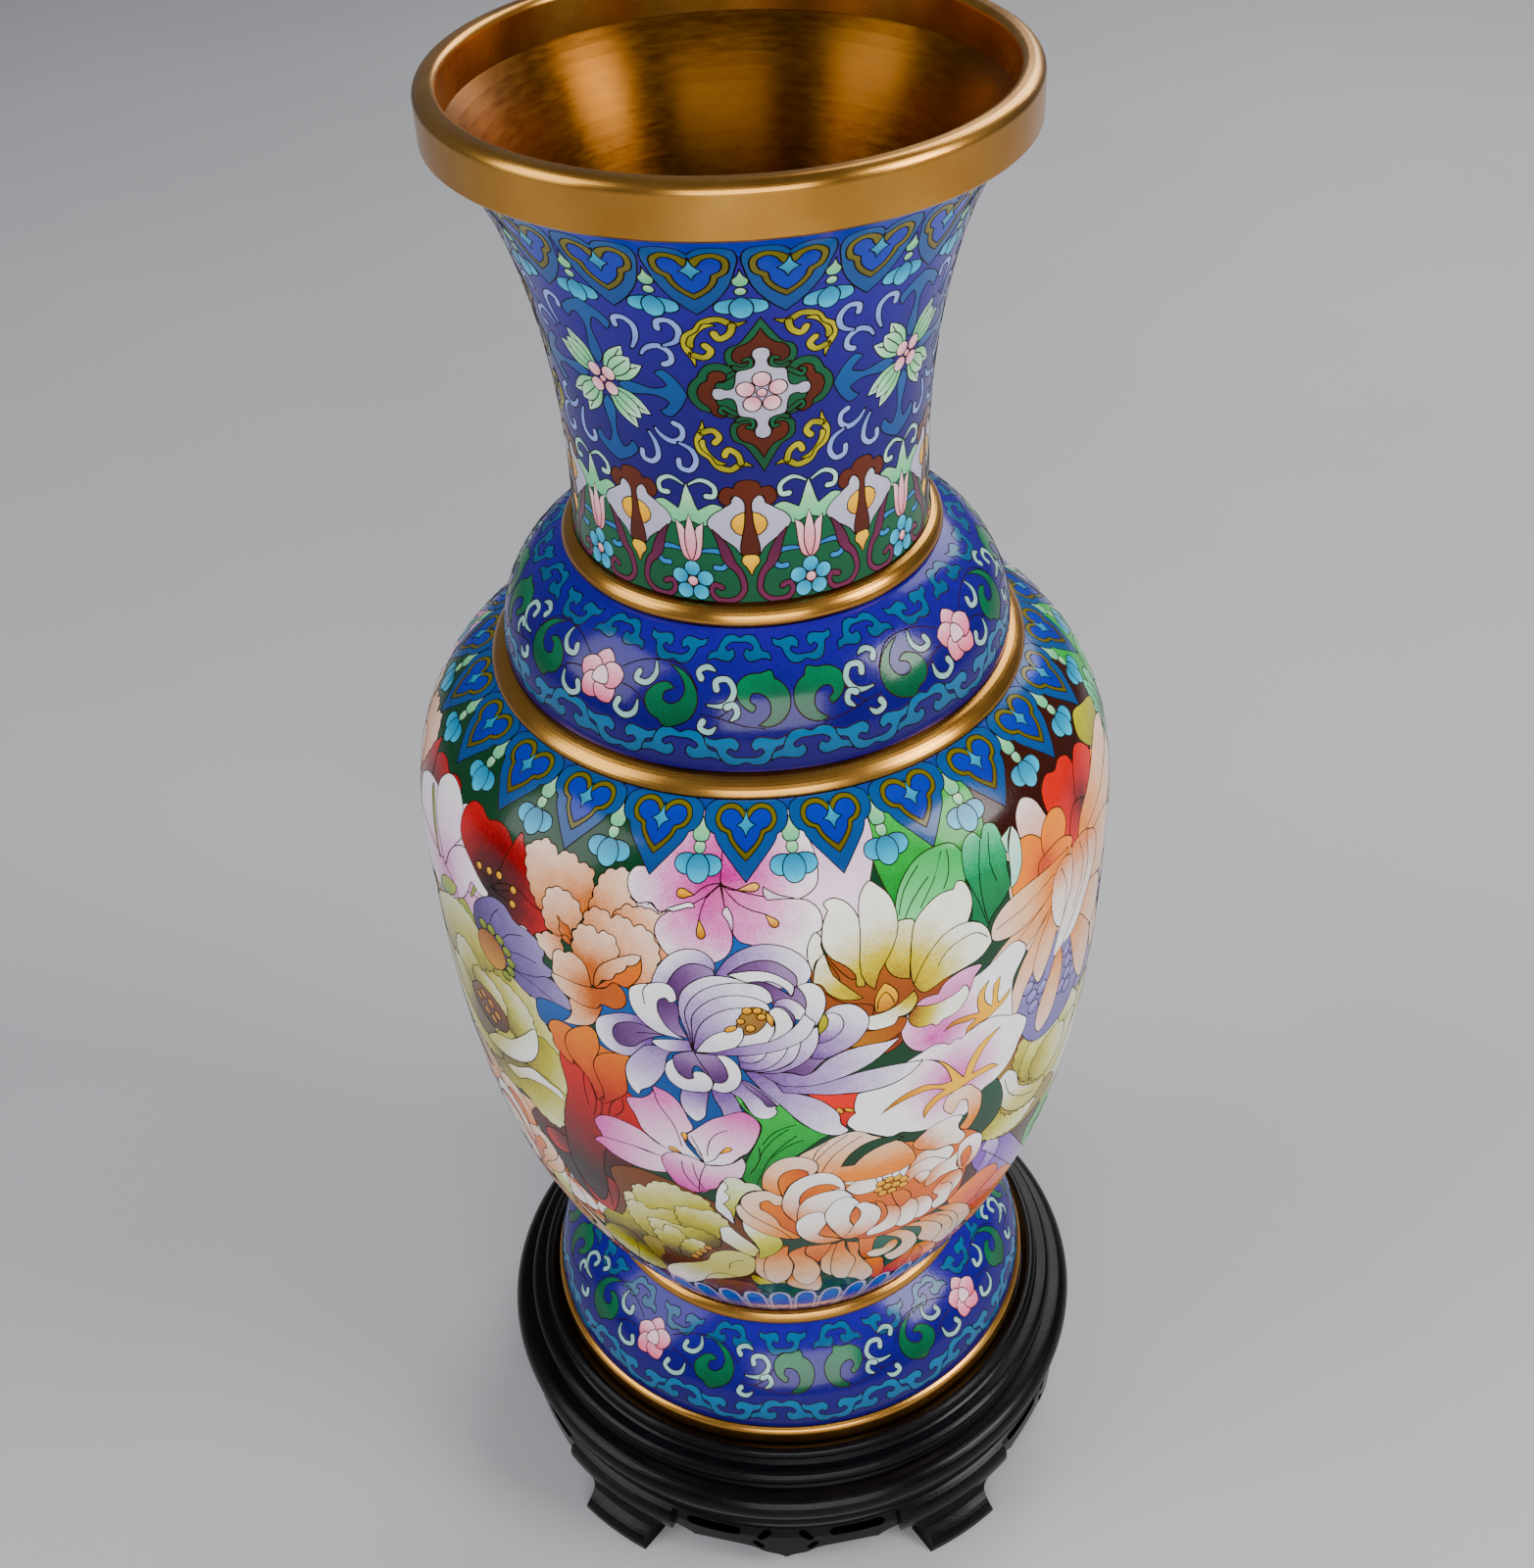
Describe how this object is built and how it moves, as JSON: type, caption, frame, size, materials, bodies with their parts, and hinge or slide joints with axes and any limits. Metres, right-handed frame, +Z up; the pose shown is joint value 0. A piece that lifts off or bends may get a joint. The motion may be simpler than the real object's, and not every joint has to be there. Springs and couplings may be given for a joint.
{
  "type": "cloisonne vase on a stand",
  "caption": "Cloisonne baluster vase with a flared neck, gilt rings and flower enamel, resting loose in a turned and carved hardwood stand.",
  "frame": {"origin": "centre of the stand's base, on the surface it stands on", "axes": "+Z up along the vase's axis, -Y towards the side seen as the front, +X to that viewer's right"},
  "size_m": [0.1819, 0.1825, 0.4296],
  "materials": {
    "gilt_brass": "polished gilt",
    "copper_wall": "brushed, slightly dulled",
    "enamel": "polished glassy enamel",
    "gilt_wire": "polished gilt",
    "lacquered_wood": "semi-gloss dark lacquer"
  },
  "bodies": {
    "stand": {"stand_moulding": "lacquered_wood", "stand_panel": "lacquered_wood", "stand_waist": "lacquered_wood", "stand_apron_1": "lacquered_wood", "stand_apron_2": "lacquered_wood", "stand_apron_3": "lacquered_wood", "stand_apron_4": "lacquered_wood", "stand_apron_5": "lacquered_wood", "stand_foot_1": "lacquered_wood", "stand_foot_2": "lacquered_wood", "stand_foot_3": "lacquered_wood", "stand_foot_4": "lacquered_wood", "stand_foot_5": "lacquered_wood"},
    "vase": {"mouth_rim": "gilt_brass", "neck_shell": "copper_wall", "neck_enamel": "enamel", "neck_wires": "gilt_wire", "neck_ring": "gilt_brass", "collar_shell": "copper_wall", "collar_enamel": "enamel", "collar_wires": "gilt_wire", "collar_ring": "gilt_brass", "belly_shell": "copper_wall", "belly_enamel": "enamel", "belly_wires": "gilt_wire", "waist_ring": "gilt_brass", "bottom_plate": "copper_wall", "foot_shell": "copper_wall", "foot_enamel": "enamel", "foot_wires": "gilt_wire", "foot_ring": "gilt_brass"}
  },
  "joints": [
    {"name": "vase_lift", "type": "slide", "parent": "stand", "child": "vase", "axis": [0, 0, 1], "range_m": [0, 0.06]}
  ]
}
